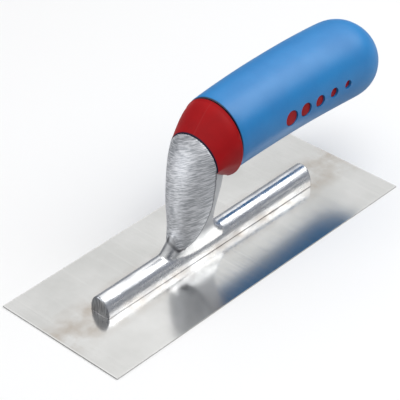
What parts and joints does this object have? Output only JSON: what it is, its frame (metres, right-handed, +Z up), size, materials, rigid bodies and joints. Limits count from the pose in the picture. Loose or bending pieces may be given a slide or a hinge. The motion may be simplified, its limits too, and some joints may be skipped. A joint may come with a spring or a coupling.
{
  "type": "finishing trowel",
  "caption": "Small flat finishing trowel with a plain rectangular steel blade, riveted cast bar and post, and a soft two-colour handle.",
  "frame": {"origin": "middle of the blade's flat underside", "axes": "+X along the blade towards the free end of the handle, +Y across the blade, +Z up out of the blade"},
  "size_m": [0.2168, 0.0762, 0.0835],
  "materials": {
    "blade_steel": "bright satin, faint grain",
    "cast_aluminium": "polished bar, ground post",
    "rivet_alloy": "ground flush",
    "zinc_steel": "zinc plated",
    "red_plastic": "semi-gloss",
    "blue_soft_grip": "soft satin",
    "plug_plastic": "satin"
  },
  "bodies": {
    "root": {"blade": "blade_steel", "mounting": "cast_aluminium", "mounting_rivets": "rivet_alloy", "tang_rod": "zinc_steel", "handle_core": "red_plastic", "grip_sleeve": "blue_soft_grip", "tang_washer": "zinc_steel", "tang_nut": "zinc_steel", "end_plug": "plug_plastic"}
  },
  "joints": []
}
